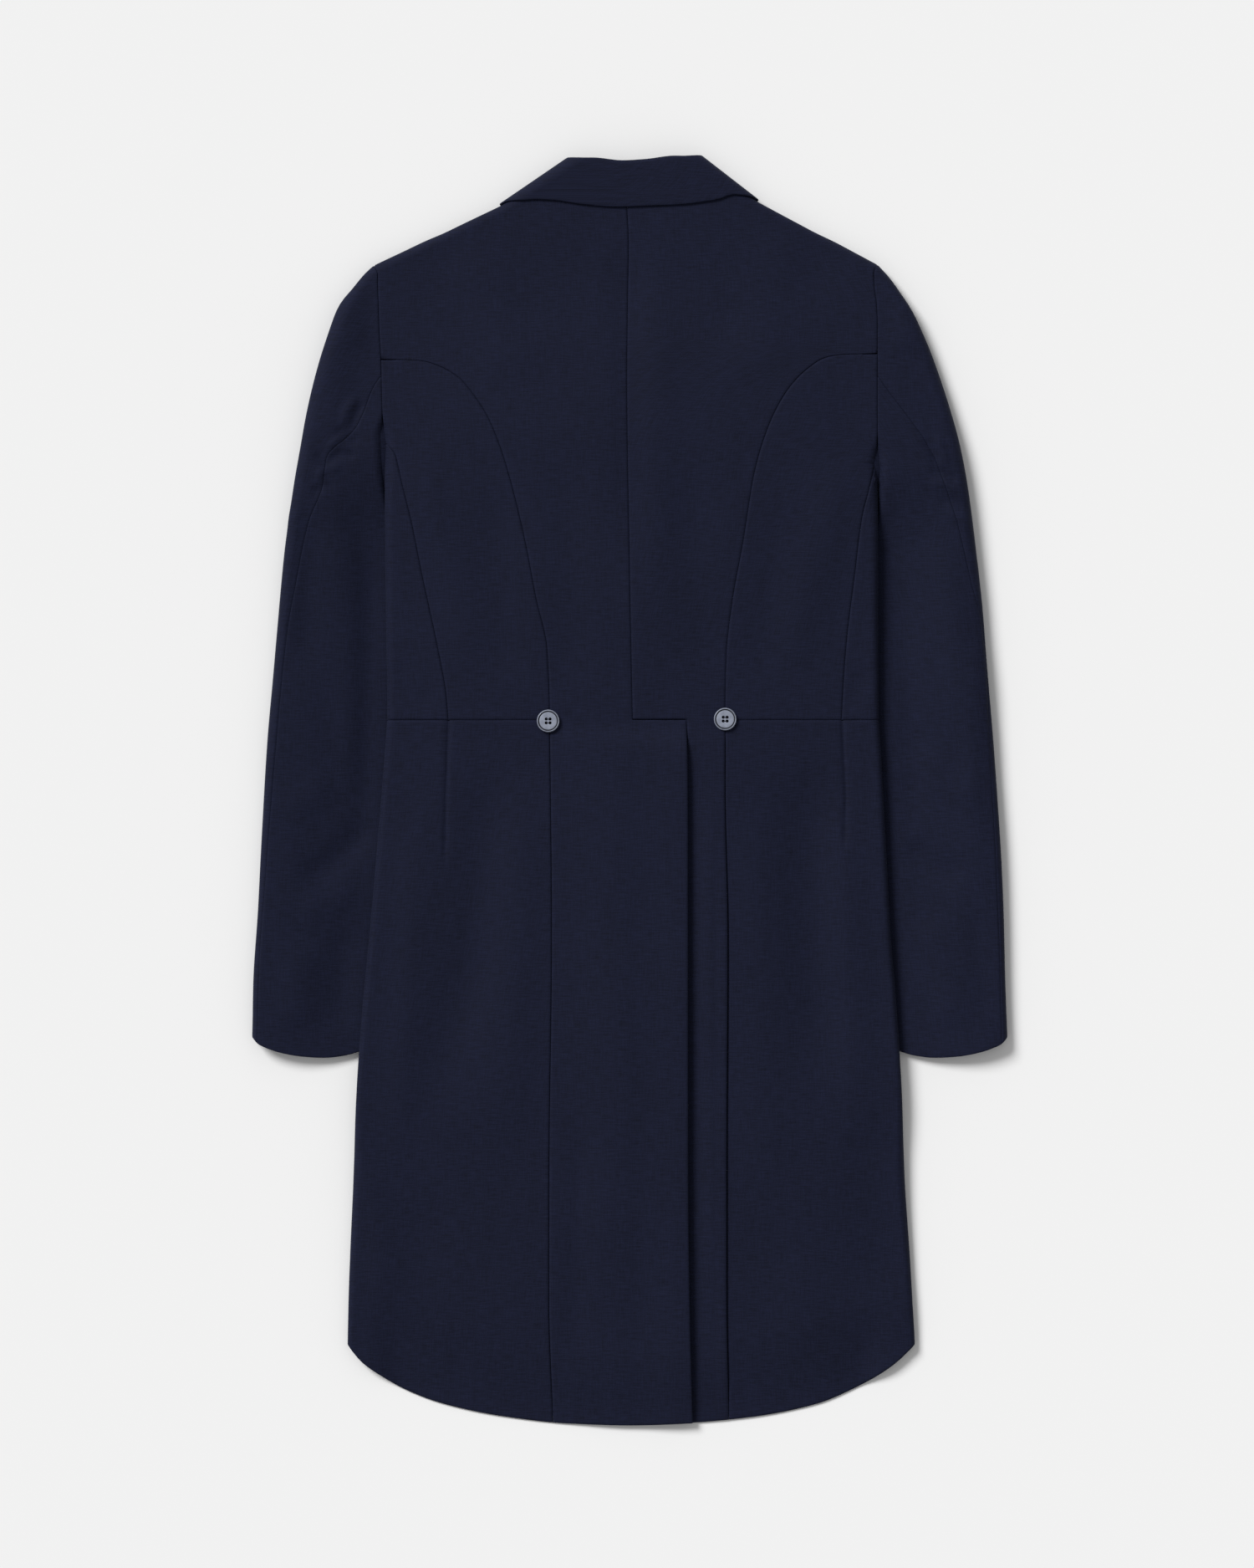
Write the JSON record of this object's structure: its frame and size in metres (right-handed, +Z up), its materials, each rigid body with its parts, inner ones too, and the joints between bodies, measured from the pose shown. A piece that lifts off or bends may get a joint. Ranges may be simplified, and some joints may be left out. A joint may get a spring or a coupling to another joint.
{
  "type": "morning coat",
  "caption": "Navy wool morning coat laid flat on its front with the back up: collar, seamed back, curved side seams, long tails with a vent, sleeves, and buttons at the back waist.",
  "frame": {"origin": "centre of the footprint, on the ground that the coat lies on", "axes": "+X to the right of a viewer who looks down on the back, +Y towards the collar, +Z up from the ground"},
  "size_m": [0.6316, 1.0618, 0.0235],
  "materials": {
    "wool": "fine plain-weave navy wool",
    "button": "grey-blue four-hole button, satin"
  },
  "bodies": {
    "root": {"back_left": "wool", "back_right": "wool", "side_body_left": "wool", "side_body_right": "wool", "front_left": "wool", "front_right": "wool", "skirt_left": "wool", "skirt_right": "wool", "sleeve_left_top": "wool", "sleeve_left_under": "wool", "sleeve_right_top": "wool", "sleeve_right_under": "wool", "collar": "wool", "lapel_left": "wool", "lapel_right": "wool", "button_back_left": "button", "button_back_right": "button", "button_front": "button"}
  },
  "joints": []
}
